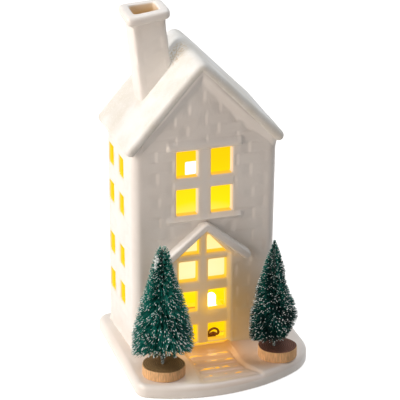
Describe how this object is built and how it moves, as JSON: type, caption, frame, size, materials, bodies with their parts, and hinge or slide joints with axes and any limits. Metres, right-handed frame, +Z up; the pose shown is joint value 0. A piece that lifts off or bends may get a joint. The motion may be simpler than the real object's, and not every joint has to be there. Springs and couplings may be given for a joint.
{
  "type": "ceramic village house",
  "caption": "Lit white ceramic village house with gabled roof, leaning chimney and glowing windows, on a snow base with bottle-brush trees and a battery tray beneath.",
  "frame": {"origin": "on the ground, under the middle of the snow base", "axes": "+Z up; the door faces -Y; +X is to the right of someone who faces the door"},
  "size_m": [0.1052, 0.108, 0.1991],
  "materials": {
    "snow_glaze": "white gloss glaze",
    "wood_slice": "sawn, unvarnished",
    "stem_wire": "twisted wire",
    "brush_green": "dyed fibre with white frosted tips",
    "tray_plastic": "moulded",
    "lid_plastic": "moulded",
    "switch_plastic": "moulded",
    "cell_sleeve": "plain sleeve",
    "contact_metal": "nickel plated",
    "led_lens": "clear warm epoxy",
    "lead_red": "wire insulation",
    "lead_black": "wire insulation"
  },
  "bodies": {
    "house": {"base_plate": "snow_glaze", "house_walls": "snow_glaze", "roof": "snow_glaze", "chimney": "snow_glaze", "door_canopy": "snow_glaze", "left_tree_base": "wood_slice", "left_tree_stem": "stem_wire", "left_tree_bristles": "brush_green", "right_tree_base": "wood_slice", "right_tree_stem": "stem_wire", "right_tree_bristles": "brush_green", "battery_tray": "tray_plastic", "front_cell": "cell_sleeve", "back_cell": "cell_sleeve", "front_contact_spring": "contact_metal", "back_contact_spring": "contact_metal", "negative_terminal": "contact_metal", "positive_terminal": "contact_metal", "link_plate": "contact_metal", "switch_body": "switch_plastic", "led_holder": "tray_plastic", "led_lamp": "led_lens", "led_legs": "contact_metal", "negative_lead": "lead_black", "positive_lead": "lead_red", "switch_lead": "lead_red"},
    "battery_lid": {"battery_lid": "lid_plastic"},
    "switch_slider": {"switch_slider": "switch_plastic"}
  },
  "joints": [
    {"name": "lid_hinge", "type": "hinge", "parent": "house", "child": "battery_lid", "pos_m": [-0.00845, 0.0331, 0.0024], "axis": [1, 0, 0], "range_deg": [0, 90]},
    {"name": "switch_slide", "type": "slide", "parent": "house", "child": "switch_slider", "axis": [0, -1, 0], "range_m": [0, 0.003]}
  ]
}
